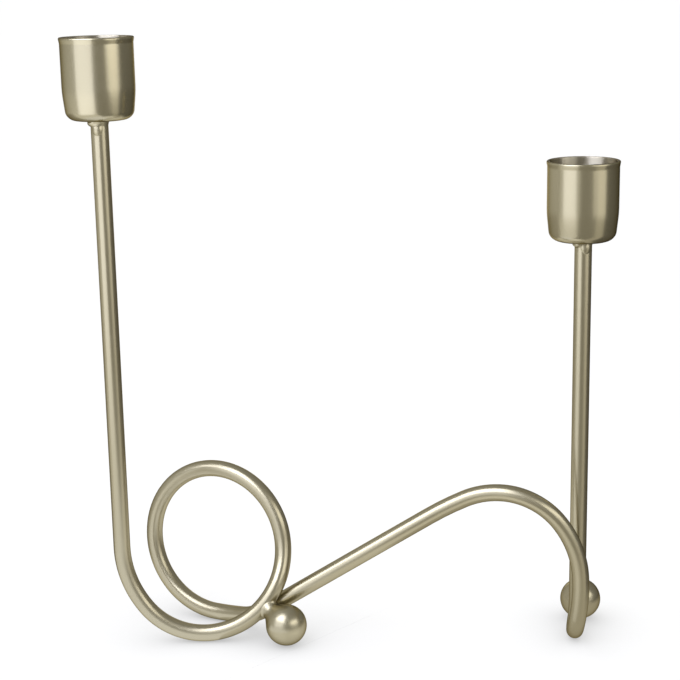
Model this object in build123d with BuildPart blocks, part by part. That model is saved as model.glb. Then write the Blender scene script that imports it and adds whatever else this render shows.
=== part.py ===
from build123d import *
import os
from math import cos, hypot, radians, sin, sqrt

# Spiral candle holder: one bent round rod, two candle cups and two ball feet.
# +X runs from the tall stem to the short stem, -Y is the front, +Z is up, and
# the origin is on the table under the middle of the whole form. The points of
# the rod are set out from the upright plane that holds both stems.

# rod and stems
rod_diameter = 6.0
stem_spacing = 164.0
left_rim_height = 215.5
right_rim_height = 171.0

# candle cups
cup_diameter = 24.6
cup_height = 27.8
cup_wall = 0.9
cup_straight_wall = 18.0
cup_draw_in = 1.0
cup_draw_radius = 30.0
cup_corner_radius = 3.0
cup_base_rise = 0.6
cup_seat_diameter = 10.0
cup_seat_blend = 6.0
lip_overhang = 0.25
lip_height = 1.2
lip_step = 0.3
lip_round = 0.4
cup_shift = 0.4

# bend at the foot of the left stem, and the low point after it
left_knee_height = 35.5
foot_reach = 28.5
foot_offset = -3.0
foot_turn = -2.0

# point where the rising rod is crossed, and the gap between the two passes
crossing_reach = 50.25
crossing_offset = -2.0
crossing_height = 13.0
crossing_turn = 12.0
crossing_climb = 48.0
crossing_gap = 0.3

# loop, standing on the table
loop_radius = 27.25
loop_reach = 33.0
loop_offset = 19.0
loop_turn = 26.0
loop_lean = 5.5
loop_start = 13.0
loop_end = 270.0

# straight ramp out of the loop, and the hump at its top
ramp_turn = -5.5
ramp_climb = 31.5
ramp_end_reach = 54.1
hump_run = 26.1
hump_rise = 10.2
hump_shift = -6.0
hump_turn = -20.0

# front leg under the hump, and the tight turn at the foot of the right stem
front_leg_reach = 1.25
front_leg_offset = -14.0
front_leg_height = 25.0
front_leg_lean = 3.0
u_turn_radius = 7.0
u_turn_heading = 80.0
u_turn_skew = 0.7

# ball feet
ball_diameter = 14.7
front_ball_gap = 1.0
front_ball_heading = -35.0
rear_ball_gap = 0.5
rear_ball_heading = 76.5

# weld metal
cup_weld_width = 1.1
cup_weld_height = 1.8
cup_weld_edge = 0.15
foot_weld_inset = 0.5
loop_weld_inset = 1.1
neck_flare = 0.35

# values that follow from the sizes above
rod_radius = rod_diameter / 2
cup_radius = cup_diameter / 2
ball_radius = ball_diameter / 2
left_x = -stem_spacing / 2
right_x = stem_spacing / 2
up = Vector(0, 0, 1)
down = Vector(0, 0, -1)

# The form is centred front to back between the front leg and the back of the loop.
form_front = front_leg_offset - rod_radius
loop_depth = hypot(sin(radians(loop_turn)), cos(radians(loop_turn)) * sin(radians(loop_lean)))
form_back = loop_offset + loop_radius * loop_depth + rod_radius
stem_y = -(form_front + form_back) / 2


def heading(turn, climb=0.0):
    """Unit direction, turned from +X towards +Y in plan and climbing from the table."""
    level = cos(radians(climb))
    return Vector(level * cos(radians(turn)), level * sin(radians(turn)), sin(radians(climb)))


def bend(start, start_way, end, end_way):
    """Two tangent arcs that carry the rod from one point and direction to another."""
    chord = end - start
    ways = start_way + end_way
    spread = 1 - start_way.dot(end_way)
    along = chord.dot(ways)
    reach = (sqrt(along**2 + 2 * spread * chord.dot(chord)) - along) / (2 * spread)
    middle = (start + end + (start_way - end_way) * reach) * 0.5
    first = TangentArc(start, middle, tangent=start_way)
    TangentArc(middle, end, tangent=first % 1)


# ends of the rod, under the cups
left_top = Vector(left_x, stem_y, left_rim_height - cup_height)
right_top = Vector(right_x, stem_y, right_rim_height - cup_height)

# foot bend
left_knee = Vector(left_x, stem_y, left_knee_height)
foot_low = Vector(left_x + foot_reach, stem_y + foot_offset, rod_radius)
foot_way = heading(foot_turn)

# crossing: the ramp starts behind the rising rod, one rod and a gap away
crossing = Vector(left_x + crossing_reach, stem_y + crossing_offset, crossing_height)
crossing_way = heading(crossing_turn, crossing_climb)
ramp_way = heading(ramp_turn, ramp_climb)
behind = crossing_way.cross(ramp_way).normalized()
ramp_start = crossing + behind * (rod_diameter + crossing_gap)

# loop circle: one axis lies level in its plane, the other leans back
loop_level = heading(-loop_turn)
loop_back = heading(90 - loop_turn)
loop_up = loop_back * sin(radians(loop_lean)) + up * cos(radians(loop_lean))
loop_centre = Vector(
    left_x + loop_reach,
    stem_y + loop_offset,
    rod_radius + loop_radius * cos(radians(loop_lean)),
)
loop_half = (loop_start + loop_end) / 2


def loop_point(angle):
    turn = radians(angle)
    return loop_centre + (loop_level * cos(turn) + loop_up * sin(turn)) * loop_radius


def loop_way(angle):
    turn = radians(angle)
    return loop_up * cos(turn) - loop_level * sin(turn)


# ramp and hump
ramp_length = (right_x - ramp_end_reach - ramp_start.X) / ramp_way.X
ramp_end = ramp_start + ramp_way * ramp_length
hump_top = ramp_end + Vector(hump_run, hump_shift, hump_rise)
hump_way = heading(hump_turn)

# front leg and U-turn, whose low point stands on the table
front_leg = Vector(right_x - front_leg_reach, stem_y + front_leg_offset, front_leg_height)
front_leg_way = heading(0, front_leg_lean - 90)
u_turn_way = heading(u_turn_heading)
right_foot = Vector(right_x, stem_y, rod_radius + u_turn_radius)
u_turn_centre = right_foot - u_turn_way * u_turn_radius
u_turn_side = u_turn_way.cross(up)
u_turn_low = u_turn_centre - up * u_turn_radius - u_turn_side * u_turn_skew

# bent rod
with BuildPart() as bent_rod:
    with BuildLine():
        Line(left_top, left_knee)
        bend(left_knee, down, foot_low, foot_way)
        bend(foot_low, foot_way, crossing, crossing_way)
        bend(crossing, crossing_way, loop_point(loop_start), loop_way(loop_start))
        TangentArc(loop_point(loop_start), loop_point(loop_half), tangent=loop_way(loop_start))
        TangentArc(loop_point(loop_half), loop_point(loop_end), tangent=loop_way(loop_half))
        bend(loop_point(loop_end), loop_way(loop_end), ramp_start, ramp_way)
        Line(ramp_start, ramp_end)
        bend(ramp_end, ramp_way, hump_top, hump_way)
        bend(hump_top, hump_way, front_leg, front_leg_way)
        bend(front_leg, front_leg_way, u_turn_low, u_turn_way)
        bend(u_turn_low, u_turn_way, right_foot, up)
        Line(right_foot, right_top)
    with BuildSketch(Plane(origin=left_top, z_dir=down)):
        Circle(rod_radius)
    sweep()


def upright_plane(origin):
    """Plane through a stem, with the stem's axis as its local Y."""
    return Plane(origin=origin, x_dir=(1, 0, 0), z_dir=(0, -1, 0))


def candle_cup(seat):
    """Drawn sheet cup with a rolled-out lip, standing on the end of a stem."""
    inner_radius = cup_radius - cup_wall
    draw_height = cup_height - cup_straight_wall
    lip_low = cup_height - lip_height
    with BuildPart() as cup:
        with BuildSketch(upright_plane(seat)):
            with BuildLine():
                FilletPolyline(
                    (0, 0),
                    (cup_seat_diameter / 2, 0),
                    (cup_radius - cup_draw_in, cup_base_rise),
                    (cup_radius, draw_height),
                    (cup_radius, lip_low - lip_step),
                    (cup_radius + lip_overhang, lip_low),
                    (cup_radius + lip_overhang, cup_height),
                    (inner_radius, cup_height),
                    (inner_radius, draw_height),
                    (inner_radius - cup_draw_in, cup_base_rise + cup_wall),
                    (cup_seat_diameter / 2, cup_wall),
                    (0, cup_wall),
                    radius=[
                        0,
                        cup_seat_blend,
                        cup_corner_radius,
                        cup_draw_radius,
                        0,
                        0,
                        lip_round,
                        lip_round,
                        cup_draw_radius,
                        cup_corner_radius - cup_wall,
                        cup_seat_blend,
                        0,
                    ],
                    close=True,
                )
            make_face()
        revolve(axis=Axis(seat, up))
    return cup


def cup_weld(seat):
    """Concave collar of weld metal between the end of a stem and its cup."""
    outer = rod_radius + cup_weld_width
    with BuildPart() as collar:
        with BuildSketch(upright_plane(seat)):
            with BuildLine():
                Line((rod_radius, 0), (outer, 0))
                Line((outer, 0), (outer, -cup_weld_edge))
                TangentArc(
                    (outer, -cup_weld_edge),
                    (rod_radius + cup_weld_edge, -cup_weld_height),
                    tangent=(-1, 0),
                )
                Line((rod_radius + cup_weld_edge, -cup_weld_height), (rod_radius, -cup_weld_height))
                Line((rod_radius, -cup_weld_height), (rod_radius, 0))
            make_face()
        revolve(axis=Axis(seat, up))
    return collar


# The cups stand a little off the middle of their stems, towards each other.
inwards = Vector(cup_shift, 0, 0)
left_cup = candle_cup(left_top + inwards)
right_cup = candle_cup(right_top - inwards)
left_cup_weld = cup_weld(left_top)
right_cup_weld = cup_weld(right_top)

# ball feet: both stand on the table, each a small gap away from the rod
front_ball_drop = crossing_height - ball_radius
front_ball_distance = rod_radius + front_ball_gap + ball_radius
front_ball_run = sqrt(front_ball_distance**2 - front_ball_drop**2)
front_ball = crossing + heading(front_ball_heading) * front_ball_run + down * front_ball_drop

rear_ball_drop = right_foot.Z - ball_radius
rear_ball_distance = u_turn_radius + rod_radius + rear_ball_gap + ball_radius
rear_ball_run = sqrt(rear_ball_distance**2 - rear_ball_drop**2)
rear_ball = u_turn_centre + heading(rear_ball_heading) * rear_ball_run + down * rear_ball_drop
u_turn_back = u_turn_centre + (rear_ball - u_turn_centre).normalized() * u_turn_radius

with BuildPart() as front_ball_foot:
    with Locations(front_ball):
        Sphere(ball_radius)

with BuildPart() as rear_ball_foot:
    with Locations(rear_ball):
        Sphere(ball_radius)


def weld_neck(start, end, waist, end_radius, neighbours):
    """Waisted bead of weld metal from the rod to a neighbour, cut to the faces it joins."""
    way = (end - start).normalized()
    side = way.cross(up).normalized()
    low = rod_radius / 4
    high = (end - start).length - end_radius + rod_radius - low
    flare = waist + neck_flare
    with BuildPart() as neck:
        with BuildSketch(Plane(origin=start, x_dir=side, z_dir=side.cross(way))):
            with BuildLine():
                Line((0, low), (flare, low))
                ThreePointArc((flare, low), (waist, (low + high) / 2), (flare, high))
                Line((flare, high), (0, high))
                Line((0, high), (0, low))
            make_face()
        revolve(axis=Axis(start, way))
        for neighbour in neighbours:
            add(neighbour.part, mode=Mode.SUBTRACT)
    return neck


foot_weld_waist = rod_radius - foot_weld_inset
loop_weld_waist = rod_radius - loop_weld_inset
front_foot_weld = weld_neck(
    crossing, front_ball, foot_weld_waist, ball_radius, [bent_rod, front_ball_foot]
)
rear_foot_weld = weld_neck(
    u_turn_back, rear_ball, foot_weld_waist, ball_radius, [bent_rod, rear_ball_foot]
)
loop_weld = weld_neck(
    crossing, ramp_start, loop_weld_waist, rod_radius, [bent_rod, front_foot_weld]
)

# finished pieces
pieces = {
    "bent_rod": bent_rod,
    "left_cup": left_cup,
    "right_cup": right_cup,
    "left_cup_weld": left_cup_weld,
    "right_cup_weld": right_cup_weld,
    "front_ball_foot": front_ball_foot,
    "rear_ball_foot": rear_ball_foot,
    "front_foot_weld": front_foot_weld,
    "rear_foot_weld": rear_foot_weld,
    "loop_weld": loop_weld,
}
os.makedirs("parts", exist_ok=True)
for node, piece in pieces.items():
    piece.part.label = node
    export_step(piece.part, f"parts/{node}.step")
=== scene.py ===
from math import atan2, ceil, cos, hypot, pi, radians, sin, sqrt, tan

import bpy
from mathutils import Matrix, Vector


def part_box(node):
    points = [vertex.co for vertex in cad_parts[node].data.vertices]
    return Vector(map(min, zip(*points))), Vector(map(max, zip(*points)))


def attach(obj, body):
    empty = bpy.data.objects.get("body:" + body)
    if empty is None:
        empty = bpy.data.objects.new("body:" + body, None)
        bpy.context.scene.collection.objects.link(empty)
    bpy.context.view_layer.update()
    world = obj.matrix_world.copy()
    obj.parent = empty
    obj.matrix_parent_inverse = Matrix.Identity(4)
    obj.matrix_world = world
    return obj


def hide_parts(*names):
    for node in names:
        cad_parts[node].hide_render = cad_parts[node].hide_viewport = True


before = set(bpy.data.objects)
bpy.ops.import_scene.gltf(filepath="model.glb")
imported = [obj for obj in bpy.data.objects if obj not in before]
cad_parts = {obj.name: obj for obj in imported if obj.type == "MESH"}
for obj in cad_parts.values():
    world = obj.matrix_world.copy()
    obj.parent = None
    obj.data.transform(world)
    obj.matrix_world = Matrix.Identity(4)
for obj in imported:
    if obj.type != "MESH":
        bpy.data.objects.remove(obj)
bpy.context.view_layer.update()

# All sizes are in metres and all angles in degrees. The candle holder's tall stem
# is at -X, its front is at -Y, and the table is at Z = 0.

# Rod
rod_radius = 0.003
rod_sides = 48
ring_gap = 0.004
ring_turn = 3.0
left_knee_height = 0.0355
foot_reach = 0.0285
foot_offset = -0.003
foot_turn = -2.0
crossing_reach = 0.05025
crossing_offset = -0.002
crossing_height = 0.013
crossing_turn = 12.0
crossing_climb = 48.0
crossing_gap = 0.0003
loop_radius = 0.02725
loop_reach = 0.033
loop_offset = 0.019
loop_turn = 26.0
loop_lean = 5.5
loop_start = 13.0
loop_end = 270.0
ramp_turn = -5.5
ramp_climb = 31.5
ramp_end_reach = 0.0541
hump_run = 0.0261
hump_rise = 0.0102
hump_shift = -0.006
hump_turn = -20.0
front_leg_reach = 0.00125
front_leg_offset = -0.014
front_leg_height = 0.025
front_leg_lean = 3.0
u_turn_radius = 0.007
u_turn_heading = 80.0
u_turn_skew = 0.0007

# Candle cups
cup_sides = 96
cup_wall = 0.0009
cup_straight_wall = 0.018
cup_draw_in = 0.001
cup_draw_radius = 0.03
cup_corner_radius = 0.0034
cup_base_rise = 0.0006
cup_seat_radius = 0.005
cup_seat_blend = 0.006
lip_overhang = 0.00025
lip_height = 0.0007
lip_step = 0.0013
lip_round = 0.00043
lip_step_round = 0.0025
rounding_turn = 9.0
bore_wall_facing = -0.2
bore_floor_facing = 0.5
bore_wall_index = 1
bore_floor_index = 2

# Camera
view_heading = -0.76
view_pitch = 13.40
view_roll = 1.08
view_height = 0.23738
view_distance = 0.53442
view_sideways = -0.00242
focal_pixels = 1576.85
frame_pixels = 680
sensor_width = 36.0

up = Vector((0, 0, 1))
down = Vector((0, 0, -1))
wrap_map = "wrap"


def seat_of(cup):
    """Middle of a cup's underside, where its stem ends."""
    low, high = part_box(cup)
    return Vector(((low.x + high.x) / 2, (low.y + high.y) / 2, low.z))


def middle_of(node):
    low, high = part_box(node)
    return (low + high) / 2


left_seat = seat_of("left_cup")
right_seat = seat_of("right_cup")
left_x, stem_y, _ = middle_of("left_cup_weld")
right_x = middle_of("right_cup_weld").x
left_top = Vector((left_x, stem_y, left_seat.z))
right_top = Vector((right_x, stem_y, right_seat.z))
cup_low, cup_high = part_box("left_cup")
cup_radius = (cup_high.x - cup_low.x) / 2 - lip_overhang
cup_height = cup_high.z - cup_low.z
front_ball = middle_of("front_ball_foot")
rear_ball = middle_of("rear_ball_foot")
ball_radius = front_ball.z


# Modelling helpers

crease_angle = 40.0


def clear_selection():
    if bpy.context.object and bpy.context.object.mode != "OBJECT":
        bpy.ops.object.mode_set(mode="OBJECT")
    bpy.ops.object.select_all(action="DESELECT")


def settle(piece, name):
    """Name a new primitive and put its place into its mesh."""
    piece.name = name
    piece.data.name = name
    bpy.ops.object.transform_apply(location=True, rotation=True, scale=True)
    return piece


def apply_modifiers(piece):
    bpy.context.view_layer.objects.active = piece
    for modifier in list(piece.modifiers):
        bpy.ops.object.modifier_apply(modifier=modifier.name)


def join(pieces):
    clear_selection()
    for piece in pieces:
        piece.select_set(True)
    bpy.context.view_layer.objects.active = pieces[0]
    bpy.ops.object.join()
    return pieces[0]


def smooth(piece, angle=crease_angle):
    """Shade a piece smooth, apart from edges that turn by more than the angle."""
    clear_selection()
    piece.select_set(True)
    bpy.context.view_layer.objects.active = piece
    bpy.ops.object.shade_smooth_by_angle(angle=radians(angle))


def stand_for(piece, node, finish):
    """Dress a finished piece and let it stand for its CAD node."""
    piece.data.materials.clear()
    piece.data.materials.append(finish)
    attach(piece, "root")
    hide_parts(node)
    return piece


# Bent rod: a ring of edges is drawn out along straight runs and spun round the bends

def heading(turn, climb=0.0):
    """Unit direction, turned from +X towards +Y in plan and climbing from the table."""
    level = cos(radians(climb))
    return Vector((level * cos(radians(turn)), level * sin(radians(turn)), sin(radians(climb))))


def draw_out(start, end):
    step = end - start
    rings = ceil(step.length / ring_gap)
    for _ in range(rings):
        bpy.ops.mesh.extrude_edges_move(TRANSFORM_OT_translate={"value": step / rings})


def spin_round(start, way, end):
    """Spin the open end from one point to another on the circle that leaves along way."""
    chord = end - start
    axis = way.cross(chord).normalized()
    inward = axis.cross(way)
    radius = chord.length_squared / (2 * chord.dot(inward))
    turn = 2 * atan2(chord.dot(inward), chord.dot(way))
    steps = ceil(turn / radians(ring_turn))
    # The spin operator turns the other way from Matrix.Rotation
    bpy.ops.mesh.spin(steps=steps, angle=-turn, center=start + inward * radius, axis=axis)
    return Matrix.Rotation(turn, 3, axis) @ way


def bend(start, start_way, end, end_way):
    """Two tangent arcs that carry the rod from one point and direction to another."""
    chord = end - start
    ways = start_way + end_way
    spread = 1 - start_way.dot(end_way)
    along = chord.dot(ways)
    reach = (sqrt(along**2 + 2 * spread * chord.dot(chord)) - along) / (2 * spread)
    middle = (start + end + (start_way - end_way) * reach) / 2
    middle_way = spin_round(start, start_way, middle)
    spin_round(middle, middle_way, end)


left_knee = Vector((left_x, stem_y, left_knee_height))
foot_low = Vector((left_x + foot_reach, stem_y + foot_offset, rod_radius))
foot_way = heading(foot_turn)
crossing = Vector((left_x + crossing_reach, stem_y + crossing_offset, crossing_height))
crossing_way = heading(crossing_turn, crossing_climb)
ramp_way = heading(ramp_turn, ramp_climb)
behind = crossing_way.cross(ramp_way).normalized()
ramp_start = crossing + behind * (2 * rod_radius + crossing_gap)
ramp_end = ramp_start + ramp_way * ((right_x - ramp_end_reach - ramp_start.x) / ramp_way.x)
hump_top = ramp_end + Vector((hump_run, hump_shift, hump_rise))
hump_way = heading(hump_turn)
front_leg = Vector((right_x - front_leg_reach, stem_y + front_leg_offset, front_leg_height))
front_leg_way = heading(0, front_leg_lean - 90)
u_turn_way = heading(u_turn_heading)
right_foot = Vector((right_x, stem_y, rod_radius + u_turn_radius))
u_turn_centre = right_foot - u_turn_way * u_turn_radius
u_turn_low = u_turn_centre - up * u_turn_radius - u_turn_way.cross(up) * u_turn_skew
u_turn_back = u_turn_centre + (rear_ball - u_turn_centre).normalized() * u_turn_radius
loop_level = heading(-loop_turn)
loop_up = heading(90 - loop_turn) * sin(radians(loop_lean)) + up * cos(radians(loop_lean))
loop_height = rod_radius + loop_radius * cos(radians(loop_lean))
loop_centre = Vector((left_x + loop_reach, stem_y + loop_offset, loop_height))


def loop_point(angle):
    turn = radians(angle)
    return loop_centre + (loop_level * cos(turn) + loop_up * sin(turn)) * loop_radius


def loop_way(angle):
    turn = radians(angle)
    return loop_up * cos(turn) - loop_level * sin(turn)


def wrap_rod(rod):
    """Map the rod by its length and its girth, ring by ring, for marks that run round it."""
    points = rod.data.vertices
    lengths = [0.0]
    centre = None
    for first in range(0, len(points), rod_sides):
        ring = [points[first + side].co for side in range(rod_sides)]
        before, centre = centre, sum(ring, Vector()) / rod_sides
        if before:
            lengths.append(lengths[-1] + (centre - before).length)
    wrap = rod.data.uv_layers.new(name=wrap_map)
    for face in rod.data.polygons:
        sides = [vertex % rod_sides for vertex in face.vertices]
        on_seam = max(sides) - min(sides) > rod_sides / 2
        for loop, vertex, side in zip(face.loop_indices, face.vertices, sides):
            turn = rod_sides if on_seam and side == 0 else side
            wrap.data[loop].uv = (lengths[vertex // rod_sides], turn / rod_sides)


def make_rod():
    clear_selection()
    bpy.ops.mesh.primitive_circle_add(vertices=rod_sides, radius=rod_radius, location=left_top)
    rod = settle(bpy.context.object, "rod")
    bpy.ops.object.mode_set(mode="EDIT")
    bpy.ops.mesh.select_all(action="SELECT")
    loop_half = (loop_start + loop_end) / 2
    draw_out(left_top, left_knee)
    bend(left_knee, down, foot_low, foot_way)
    bend(foot_low, foot_way, crossing, crossing_way)
    bend(crossing, crossing_way, loop_point(loop_start), loop_way(loop_start))
    spin_round(loop_point(loop_start), loop_way(loop_start), loop_point(loop_half))
    spin_round(loop_point(loop_half), loop_way(loop_half), loop_point(loop_end))
    bend(loop_point(loop_end), loop_way(loop_end), ramp_start, ramp_way)
    draw_out(ramp_start, ramp_end)
    bend(ramp_end, ramp_way, hump_top, hump_way)
    bend(hump_top, hump_way, front_leg, front_leg_way)
    bend(front_leg, front_leg_way, u_turn_low, u_turn_way)
    bend(u_turn_low, u_turn_way, right_foot, up)
    draw_out(right_foot, right_top)
    bpy.ops.mesh.edge_face_add()
    bpy.ops.mesh.select_all(action="DESELECT")
    bpy.ops.mesh.select_non_manifold()
    bpy.ops.mesh.edge_face_add()
    bpy.ops.mesh.select_all(action="SELECT")
    bpy.ops.mesh.normals_make_consistent(inside=False)
    bpy.ops.object.mode_set(mode="OBJECT")
    wrap_rod(rod)
    smooth(rod)
    return rod


# Candle cups: the seat's disc is grown outwards, up the wall, over the lip and down inside

def cup_outline():
    """Rings of a cup from its seat to its inner floor, as radius, height and rounding."""
    bore = cup_radius - cup_wall
    lip = cup_radius + lip_overhang
    lip_low = cup_height - lip_height
    draw_height = cup_height - cup_straight_wall
    return [
        (cup_seat_radius, 0.0, cup_seat_blend),
        (cup_radius - cup_draw_in, cup_base_rise, cup_corner_radius),
        (cup_radius, draw_height, cup_draw_radius),
        (cup_radius, lip_low - lip_step, lip_step_round),
        (lip, lip_low, lip_step_round),
        (lip, cup_height, lip_round),
        (bore, cup_height, lip_round),
        (bore, draw_height, cup_draw_radius),
        (bore - cup_draw_in, cup_base_rise + cup_wall, cup_corner_radius - cup_wall),
        (cup_seat_radius, cup_wall, cup_seat_blend),
    ]


def select_ring(piece, seat, radius, height, reach=1e-6):
    """Select the ring of edges at this radius and height above the seat."""
    bpy.ops.mesh.select_all(action="DESELECT")
    bpy.ops.object.mode_set(mode="OBJECT")
    on_ring = set()
    for vertex in piece.data.vertices:
        away = vertex.co - seat
        if abs(hypot(away.x, away.y) - radius) < reach and abs(away.z - height) < reach:
            on_ring.add(vertex.index)
    for edge in piece.data.edges:
        edge.select = set(edge.vertices) <= on_ring
    bpy.ops.object.mode_set(mode="EDIT")


def round_ring(piece, seat, before, ring, after):
    """Bevel one ring of a turned piece to its rounding radius."""
    entry = Vector((ring[0] - before[0], ring[1] - before[1]))
    leave = Vector((after[0] - ring[0], after[1] - ring[1]))
    turn = entry.angle(leave)
    select_ring(piece, seat, ring[0], ring[1])
    bpy.ops.mesh.bevel(
        offset=ring[2] * tan(turn / 2),
        offset_type="OFFSET",
        segments=ceil(turn / radians(rounding_turn)) + 1,
        affect="EDGES",
    )


def wrap_cup(cup, seat):
    """Map a cup by the way up its wall and by its girth, with no point on the map's seam."""
    wrap = cup.data.uv_layers.new(name=wrap_map)
    half_side = 0.5 / cup_sides
    for loop in cup.data.loops:
        away = cup.data.vertices[loop.vertex_index].co - seat
        girth = (atan2(away.x, -away.y) / (2 * pi) + half_side) % 1.0
        wrap.data[loop.index].uv = (away.z + hypot(away.x, away.y), girth)


def line_bore(cup, seat, wall_finish, floor_finish):
    """Give the inside of a cup its lighter lacquer, which paints in brighter light there, with
    turned marks on the wall alone.
    """
    cup.data.materials.append(wall_finish)
    cup.data.materials.append(floor_finish)
    for face in cup.data.polygons:
        away = face.center - seat
        outwards = Vector((away.x, away.y, 0)).normalized()
        on_wall = face.normal.dot(outwards) < bore_wall_facing
        on_floor = face.normal.z > bore_floor_facing and away.z < cup_height / 2
        if on_floor:
            face.material_index = bore_floor_index
        elif on_wall:
            face.material_index = bore_wall_index


def make_cup(name, seat):
    clear_selection()
    bpy.ops.mesh.primitive_circle_add(
        vertices=cup_sides, radius=cup_seat_radius, fill_type="NGON", location=seat
    )
    cup = settle(bpy.context.object, name)
    rings = cup_outline()
    bpy.ops.object.mode_set(mode="EDIT")
    bpy.ops.mesh.select_mode(type="EDGE")
    bpy.ops.mesh.select_all(action="SELECT")
    bpy.ops.mesh.region_to_loop()
    for (radius, height, _), (wider, higher, _) in zip(rings, rings[1:]):
        rise = Vector((0, 0, higher - height))
        bpy.ops.mesh.extrude_edges_move(TRANSFORM_OT_translate={"value": rise})
        share = wider / radius
        bpy.ops.transform.resize(value=(share, share, 1), center_override=seat)
    bpy.ops.mesh.edge_face_add()
    ends = [(0.0, 0.0)] + rings + [(0.0, cup_wall)]
    for before, ring, after in zip(ends, rings, ends[2:]):
        round_ring(cup, seat, before, ring, after)
    bpy.ops.mesh.select_all(action="SELECT")
    bpy.ops.mesh.normals_make_consistent(inside=False)
    bpy.ops.object.mode_set(mode="OBJECT")
    wrap_cup(cup, seat)
    smooth(cup)
    return cup


# Ball feet: a cube, cut fine and cast to a round ball, so that it has no poles

ball_cuts = 23


def make_ball(name, centre):
    clear_selection()
    side = 2 * ball_radius / sqrt(3)
    bpy.ops.mesh.primitive_cube_add(size=side, location=centre)
    ball = bpy.context.object
    bpy.ops.object.mode_set(mode="EDIT")
    bpy.ops.mesh.select_all(action="SELECT")
    bpy.ops.mesh.subdivide(number_cuts=ball_cuts)
    bpy.ops.object.mode_set(mode="OBJECT")
    cast = ball.modifiers.new("round", "CAST")
    cast.cast_type = "SPHERE"
    cast.factor = 1.0
    cast.use_radius_as_size = False
    cast.size = ball_radius
    apply_modifiers(ball)
    settle(ball, name)
    smooth(ball)
    return ball


# Welds: rings and drops of weld metal, melted into one skin

weld_sides = 40
weld_grain = 0.00014
weld_flow = 0.5
weld_melt = 60
weld_sunk = 0.0002
weld_crease_angle = 180.0
drop_fineness = 4


def weld_drop(place, size, way=up):
    """Drop of weld metal, as wide and deep as its size says and as long along its way."""
    clear_selection()
    turn = way.to_track_quat("Z", "Y").to_euler()
    bpy.ops.mesh.primitive_ico_sphere_add(
        subdivisions=drop_fineness, radius=0.5, location=place, rotation=turn, scale=size
    )
    bpy.ops.object.transform_apply(location=True, rotation=True, scale=True)
    return bpy.context.object


def weld_sleeve(start, way, rings):
    """Closed sleeve round an axis, through rings of a distance along it and a radius."""
    clear_selection()
    bpy.ops.mesh.primitive_circle_add(vertices=weld_sides, radius=1.0, fill_type="NGON")
    sleeve = bpy.context.object
    bpy.ops.object.mode_set(mode="EDIT")
    bpy.ops.mesh.select_mode(type="FACE")
    bpy.ops.mesh.select_all(action="SELECT")
    far, wide = rings[0]
    bpy.ops.transform.translate(value=(0, 0, far))
    bpy.ops.transform.resize(value=(wide, wide, 1), center_override=(0, 0, 0))
    for (near, narrow), (far, wide) in zip(rings, rings[1:]):
        step = {"value": (0, 0, far - near)}
        bpy.ops.mesh.extrude_region_move(TRANSFORM_OT_translate=step)
        share = wide / narrow
        bpy.ops.transform.resize(value=(share, share, 1), center_override=(0, 0, 0))
    bpy.ops.mesh.select_all(action="SELECT")
    bpy.ops.mesh.normals_make_consistent(inside=False)
    bpy.ops.object.mode_set(mode="OBJECT")
    sleeve.location = start
    sleeve.rotation_euler = way.to_track_quat("Z", "Y").to_euler()
    bpy.ops.object.transform_apply(location=True, rotation=True, scale=True)
    return sleeve


def melt(name, lumps):
    """Join lumps of weld metal under one smooth skin."""
    weld = join(lumps)
    weld.name = name
    weld.data.name = name
    skin = weld.modifiers.new("skin", "REMESH")
    skin.mode = "VOXEL"
    skin.voxel_size = weld_grain
    flow = weld.modifiers.new("flow", "SMOOTH")
    flow.factor = weld_flow
    flow.iterations = weld_melt
    apply_modifiers(weld)
    smooth(weld, weld_crease_angle)
    return weld


collar_height = 0.0018
collar_reach = 0.0008
# Shares of the collar's height, with the share of its reach that is left there
collar_hollow = ((0.15, 0.8), (0.45, 0.45))
collar_fade = 1.3
lump_size = (0.0042, 0.005, 0.0028)
lump_sink = 0.001
lump_drop = 0.0007
drip_size = (0.004, 0.0034, 0.0056)
drip_tip_size = (0.0026, 0.003, 0.0028)
drip_sink = 0.0012
left_lump_heading = -170.0
left_drip_heading = -100.0
left_drip_reach = 0.0056
right_lump_heading = -160.0
right_drip_heading = -80.0
right_drip_reach = 0.0048


def make_cup_weld(name, top, lump_heading, drip_heading, drip_reach):
    """Collar under a cup: a thin fillet, a fuller side and a drip run down the front."""
    skin = rod_radius - weld_sunk
    rings = [(-weld_sunk, skin + collar_reach)]
    for share, left in collar_hollow:
        rings.append((collar_height * share, skin + collar_reach * left))
    rings.append((collar_height, skin + weld_sunk))
    rings.append((collar_height * collar_fade, skin))
    fillet = weld_sleeve(top, down, rings)
    side = heading(lump_heading) * (rod_radius - lump_sink)
    lump = weld_drop(top + side - up * lump_drop, lump_size)
    front = heading(drip_heading) * (rod_radius - drip_sink)
    drip = weld_drop(top + front - up * (drip_reach - drip_size[2] / 2), drip_size)
    tip = weld_drop(top + front - up * (drip_reach - drip_tip_size[2] / 2), drip_tip_size)
    return melt(name, [fillet, lump, drip, tip])


neck_steps = 8
neck_sink = 0.0013
neck_overlap = 0.0009
# Radii of a neck at its start, at its waist and at its end
rear_neck_radii = (0.0027, 0.0025, 0.0029)
loop_neck_radii = (0.0021, 0.0019, 0.0023)


def make_neck(name, start, end, end_radius, root, waist, tip):
    """Waisted neck of weld metal from inside the rod to inside its neighbour."""
    way = end - start
    reach = way.length - end_radius + neck_overlap - neck_sink
    rings = []
    for step in range(neck_steps + 1):
        share = step / neck_steps
        side = root if share < 0.5 else tip
        rings.append((neck_sink + reach * share, waist + (side - waist) * (2 * share - 1) ** 2))
    return melt(name, [weld_sleeve(start, way.normalized(), rings)])


grip_size = (0.0058, 0.0058, 0.0092)
grip_shift = 0.0013
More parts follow.
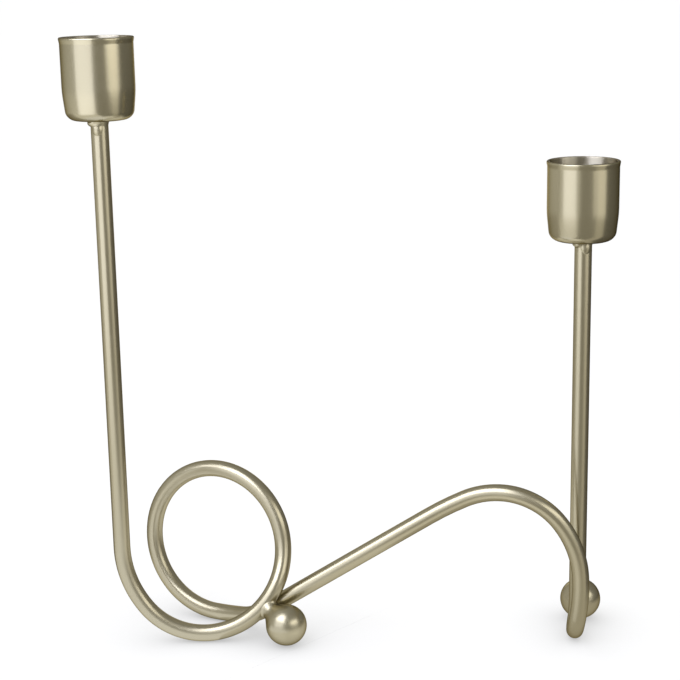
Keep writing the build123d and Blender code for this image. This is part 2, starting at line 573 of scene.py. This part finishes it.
# Distances from the rod's middle towards the ball, with the neck's radius there
front_neck_rings = (
    (0.0013, 0.0029),
    (0.0026, 0.0031),
    (0.0036, 0.0033),
    (0.0044, 0.0037),
    (0.0051, 0.0043),
    (0.0059, 0.0050),
    (0.0068, 0.0057),
)


def make_front_neck():
    """Neck to the front ball: it lies along the rod's side and flares out over the ball."""
    way = (front_ball - crossing).normalized()
    grip = weld_drop(crossing + way * grip_shift, grip_size, crossing_way)
    return melt("weld_foot_front", [grip, weld_sleeve(crossing, way, front_neck_rings)])


# Lacquer: one satin champagne metal paint on every piece; a lighter copy inside the cups paints
# in brighter light there

champagne = (0.49, 0.443, 0.298, 1)
champagne_deep = (0.46, 0.41, 0.268, 1)
# Lighter copy of the champagne for the cups' inside: painted light that brightens what the
# inside reflects
painted_light_bore_tone = (0.60, 0.55, 0.42, 1)
painted_light_bore_tone_deep = (0.55, 0.50, 0.375, 1)
edge_tint = (0.30, 0.26, 0.19, 1)
cloud_scale = 70.0
cloud_detail = 3.0
grit_scale = 5200.0
grit_detail = 1.0
sheen_spread = 0.01
peel_scale = 900.0
peel_detail = 2.0
peel_depth = 0.0001


def lacquer(name, roughness, peel, turned=0.0, tones=(champagne_deep, champagne)):
    """Metal paint with a soft sheen, faint clouds of tone and a fine orange peel.

    Where it is turned, fine marks run round the piece and spread the gloss along it.
    """
    finish = bpy.data.materials.new(name)
    finish.use_nodes = True
    nodes = finish.node_tree.nodes
    links = finish.node_tree.links
    shader = nodes["Principled BSDF"]
    shader.inputs["Metallic"].default_value = 1.0
    shader.inputs["Specular Tint"].default_value = edge_tint
    if turned:
        shader.inputs["Anisotropic"].default_value = turned
        grain = nodes.new("ShaderNodeTangent")
        grain.direction_type = "UV_MAP"
        grain.uv_map = wrap_map
        links.new(grain.outputs["Tangent"], shader.inputs["Tangent"])
    place = nodes.new("ShaderNodeTexCoord")

    def noise(scale, detail):
        pattern = nodes.new("ShaderNodeTexNoise")
        pattern.inputs["Scale"].default_value = scale
        pattern.inputs["Detail"].default_value = detail
        links.new(place.outputs["Object"], pattern.inputs["Vector"])
        return pattern.outputs["Fac"]

    tone = nodes.new("ShaderNodeMix")
    tone.data_type = "RGBA"
    tone.inputs["A"].default_value, tone.inputs["B"].default_value = tones
    links.new(noise(cloud_scale, cloud_detail), tone.inputs["Factor"])
    links.new(tone.outputs["Result"], shader.inputs["Base Color"])

    sheen = nodes.new("ShaderNodeMapRange")
    sheen.inputs["To Min"].default_value = roughness - sheen_spread
    sheen.inputs["To Max"].default_value = roughness + sheen_spread
    links.new(noise(grit_scale, grit_detail), sheen.inputs["Value"])
    links.new(sheen.outputs["Result"], shader.inputs["Roughness"])

    skin = nodes.new("ShaderNodeBump")
    skin.inputs["Strength"].default_value = peel
    skin.inputs["Distance"].default_value = peel_depth
    links.new(noise(peel_scale, peel_detail), skin.inputs["Height"])
    links.new(skin.outputs["Normal"], shader.inputs["Normal"])
    return finish


def make_camera():
    """Camera at the photograph's viewing angle."""
    data = bpy.data.cameras.new("camera")
    data.sensor_width = sensor_width
    data.lens = sensor_width * focal_pixels / frame_pixels
    camera = bpy.data.objects.new("camera", data)
    bpy.context.scene.collection.objects.link(camera)
    turn = radians(view_heading)
    ahead = Vector((-sin(turn), cos(turn), 0))
    aside = Vector((cos(turn), sin(turn), 0))
    place = Vector((0, stem_y, view_height)) - ahead * view_distance + aside * view_sideways
    rotation = (
        Matrix.Rotation(turn, 4, "Z")
        @ Matrix.Rotation(radians(90 - view_pitch), 4, "X")
        @ Matrix.Rotation(radians(-view_roll), 4, "Z")
    )
    camera.matrix_world = Matrix.Translation(place) @ rotation
    bpy.context.scene.camera = camera


# Studio

floor_size = 200.0
floor_glow = 0.97
floor_tone = 0.08
floor_polish = 0.1
# floor_shade and its reach set the painted soft shadow in the floor's glow
floor_shade = 0.45
floor_shade_reach = 0.045
card_steps = 8
card_height = 0.0005
room_left_tone = 0.6
room_right_tone = 0.25
# Lamp colours; pale and dusky tint the glowing floor cards that paint light and shade into the
# metal's reflections
cool = (1.0, 1.05, 1.32)
pale = (1.0, 1.03, 1.15)
warm = (1.0, 1.0, 1.05)
dusky = (1.0, 0.97, 0.9)
# Floor points below both ends of the lights
left_edges = (-0.132, -0.377), (-0.36, -0.135)
left_high_edges = (-0.105, -0.385), (-0.42, -0.085)
right_edges = (0.265, -0.45), (0.52, -0.19)
right_high_edges = (0.21, -0.46), (0.52, -0.14)
back_edges = (0.2, 0.6), (-0.2, 0.6)
# Name, ends, lowest and highest edge, brightness and colour
softboxes = (
    ("softbox_left_skirt", left_edges, 0.004, 0.06, 0.55, cool),
    ("softbox_left_low", left_edges, 0.06, 0.26, 0.95, cool),
    ("softbox_left_high", left_high_edges, 0.26, 1.1, 3.4, cool),
    ("softbox_right_low", right_edges, 0.045, 0.17, 0.56, warm),
    ("softbox_right_high", right_high_edges, 0.17, 0.40, 1.85, warm),
    ("softbox_back", back_edges, 0.03, 0.22, 1.0, warm),
)
# Glowing floor cards that paint patches of light and shade into the metal's reflections: name,
# inner and outer radius, first and last angle from the front, brightness and colour
painted_reflection_cards = (
    ("painted_reflection_light_left", 0.05, 0.19, -95, -18, 1.12, pale),
    ("painted_reflection_dark_left", 0.12, 0.75, -165, -95, 0.5, dusky),
    ("painted_reflection_dark_front", 0.13, 3.0, -13, 42, 0.36, dusky),
    ("painted_reflection_dark_near_right", 0.03, 0.13, 42, 140, 0.62, dusky),
    ("painted_reflection_dark_front_right", 0.13, 3.0, 42, 68, 0.62, dusky),
    ("painted_reflection_dark_right", 0.13, 3.0, 68, 165, 0.18, dusky),
)


def make_floor():
    """White floor: it glows for the camera and in reflections; ambient occlusion darkens that
    glow near the object into a painted soft shadow, and its faint matt part keeps the lamps'
    real shadow.
    """
    clear_selection()
    bpy.ops.mesh.primitive_plane_add(size=floor_size)
    floor = bpy.context.object
    floor.name = "floor"
    paper = bpy.data.materials.new("white_floor")
    paper.use_nodes = True
    nodes = paper.node_tree.nodes
    links = paper.node_tree.links
    nodes.clear()

    def calculate(operation, first, second):
        step = nodes.new("ShaderNodeMath")
        step.operation = operation
        for socket, value in zip(step.inputs, (first, second)):
            if isinstance(value, float):
                socket.default_value = value
            else:
                links.new(value, socket)
        return step.outputs["Value"]

    rays = nodes.new("ShaderNodeLightPath").outputs
    seen = calculate("MAXIMUM", rays["Is Camera Ray"], rays["Is Glossy Ray"])
    shown = calculate("MAXIMUM", seen, rays["Is Transmission Ray"])
    # Painted soft shadow: ambient occlusion darkens the glow near the object, for the camera
    # and in reflections
    corners = nodes.new("ShaderNodeAmbientOcclusion")
    corners.inputs["Distance"].default_value = floor_shade_reach
    lightness = nodes.new("ShaderNodeMapRange")
    lightness.inputs["To Min"].default_value = floor_glow * floor_shade
    lightness.inputs["To Max"].default_value = floor_glow
    links.new(corners.outputs["AO"], lightness.inputs["Value"])
    glow = nodes.new("ShaderNodeEmission")
    strength = calculate("MULTIPLY", shown, lightness.outputs["Result"])
    links.new(strength, glow.inputs["Strength"])
    matt = nodes.new("ShaderNodeBsdfDiffuse")
    matt.inputs["Color"].default_value = (floor_tone, floor_tone, floor_tone, 1)
    both = nodes.new("ShaderNodeAddShader")
    links.new(glow.outputs["Emission"], both.inputs[0])
    links.new(matt.outputs["BSDF"], both.inputs[1])
    mirror = nodes.new("ShaderNodeBsdfGlossy")
    mirror.inputs["Roughness"].default_value = floor_polish
    unseen = calculate("SUBTRACT", 1.0, rays["Is Camera Ray"])
    grazing = nodes.new("ShaderNodeFresnel").outputs["Fac"]
    polished = nodes.new("ShaderNodeMixShader")
    links.new(calculate("MULTIPLY", unseen, grazing), polished.inputs["Fac"])
    links.new(both.outputs["Shader"], polished.inputs[1])
    links.new(mirror.outputs["BSDF"], polished.inputs[2])
    out = nodes.new("ShaderNodeOutputMaterial")
    links.new(polished.outputs["Shader"], out.inputs["Surface"])
    floor.data.materials.append(paper)


def softbox(name, inner, outer, low, high, radiance, colour):
    """Upright soft light between two floor points, given by the light that its face shows."""
    inner = Vector((*inner, 0))
    outer = Vector((*outer, 0))
    along = (outer - inner).normalized()
    back = along.cross(up)
    middle = (inner + outer) / 2
    if back.dot(middle) < 0:
        along = -along
        back = -back
    data = bpy.data.lights.new(name, "AREA")
    data.shape = "RECTANGLE"
    data.size = (outer - inner).length
    data.size_y = high - low
    data.energy = radiance * pi * data.size * data.size_y
    data.color = colour
    lamp = bpy.data.objects.new(name, data)
    bpy.context.scene.collection.objects.link(lamp)
    turn = Matrix((along, up, back)).transposed().to_4x4()
    lamp.matrix_world = Matrix.Translation(middle + up * (high + low) / 2) @ turn
    lamp.visible_camera = False


def painted_reflection_card(name, near, far, start, end, tone, colour):
    """Glowing card flat on the floor, a slice of a ring that only the metal's gloss shows: it
    paints a patch of the given brightness, light or shade, into the metal's reflections, and is
    no lamp.
    """
    corners = []
    there = range(card_steps + 1)
    for radius, turns in ((near, there), (far, reversed(there))):
        for turn in turns:
            angle = radians(start + (end - start) * turn / card_steps)
            corners.append((radius * sin(angle), -radius * cos(angle), card_height))
    mesh = bpy.data.meshes.new(name)
    mesh.from_pydata(corners, [], [list(range(len(corners)))])
    card = bpy.data.objects.new(name, mesh)
    bpy.context.scene.collection.objects.link(card)
    paint = bpy.data.materials.new(name)
    paint.use_nodes = True
    nodes = paint.node_tree.nodes
    nodes.clear()
    glow = nodes.new("ShaderNodeEmission")
    glow.inputs["Color"].default_value = (*colour, 1)
    glow.inputs["Strength"].default_value = tone
    out = nodes.new("ShaderNodeOutputMaterial")
    paint.node_tree.links.new(glow.outputs["Emission"], out.inputs["Surface"])
    mesh.materials.append(paint)
    card.visible_camera = False
    card.visible_diffuse = False
    card.visible_shadow = False


def make_room(left_tone, right_tone):
    """Dim studio room, lighter on its left side than on its right."""
    room = bpy.data.worlds.new("studio")
    room.use_nodes = True
    nodes = room.node_tree.nodes
    links = room.node_tree.links
    way = nodes.new("ShaderNodeTexCoord")
    side = nodes.new("ShaderNodeSeparateXYZ")
    links.new(way.outputs["Generated"], side.inputs["Vector"])
    tone = nodes.new("ShaderNodeMapRange")
    tone.inputs["From Min"].default_value = -1.0
    tone.inputs["From Max"].default_value = 1.0
    tone.inputs["To Min"].default_value = left_tone
    tone.inputs["To Max"].default_value = right_tone
    links.new(side.outputs["X"], tone.inputs["Value"])
    links.new(tone.outputs["Result"], nodes["Background"].inputs["Strength"])
    nodes["Background"].inputs["Color"].default_value = (1, 1, 1, 1)
    bpy.context.scene.world = room


# Making

make_camera()
bpy.context.scene.view_settings.view_transform = "Standard"
painted_light_bore_tones = (painted_light_bore_tone_deep, painted_light_bore_tone)
rod_finish = lacquer("rod_lacquer", roughness=0.30, peel=0.02, turned=0.5)
cup_finish = lacquer("cup_lacquer", roughness=0.24, peel=0.08)
bore_finish = lacquer("bore_lacquer", roughness=0.42, peel=0.05, turned=0.95, tones=painted_light_bore_tones)
bore_floor_finish = lacquer("bore_floor_lacquer", roughness=0.27, peel=0.10, tones=painted_light_bore_tones)
ball_finish = lacquer("ball_lacquer", roughness=0.31, peel=0.10)
weld_finish = lacquer("weld_lacquer", roughness=0.34, peel=0.20)

stand_for(make_rod(), "bent_rod", rod_finish)
for side, seat in (("left", left_seat), ("right", right_seat)):
    cup = stand_for(make_cup("cup_" + side, seat), side + "_cup", cup_finish)
    line_bore(cup, seat, bore_finish, bore_floor_finish)
for side, centre in (("front", front_ball), ("rear", rear_ball)):
    stand_for(make_ball("ball_" + side, centre), side + "_ball_foot", ball_finish)

welds = {
    "left_cup_weld": make_cup_weld(
        "weld_cup_left", left_top, left_lump_heading, left_drip_heading, left_drip_reach
    ),
    "right_cup_weld": make_cup_weld(
        "weld_cup_right", right_top, right_lump_heading, right_drip_heading, right_drip_reach
    ),
    "front_foot_weld": make_front_neck(),
    "rear_foot_weld": make_neck(
        "weld_foot_rear", u_turn_back, rear_ball, ball_radius, *rear_neck_radii
    ),
    "loop_weld": make_neck(
        "weld_loop", crossing, ramp_start, rod_radius, *loop_neck_radii
    ),
}
for node, weld in welds.items():
    stand_for(weld, node, weld_finish)

make_floor()
for name, edges, low, high, radiance, colour in softboxes:
    softbox(name, *edges, low, high, radiance, colour)
# Glowing floor cards paint light and shade into the metal's reflections
for name, near, far, start, end, tone, colour in painted_reflection_cards:
    painted_reflection_card(name, near, far, start, end, tone, colour)
make_room(room_left_tone, room_right_tone)
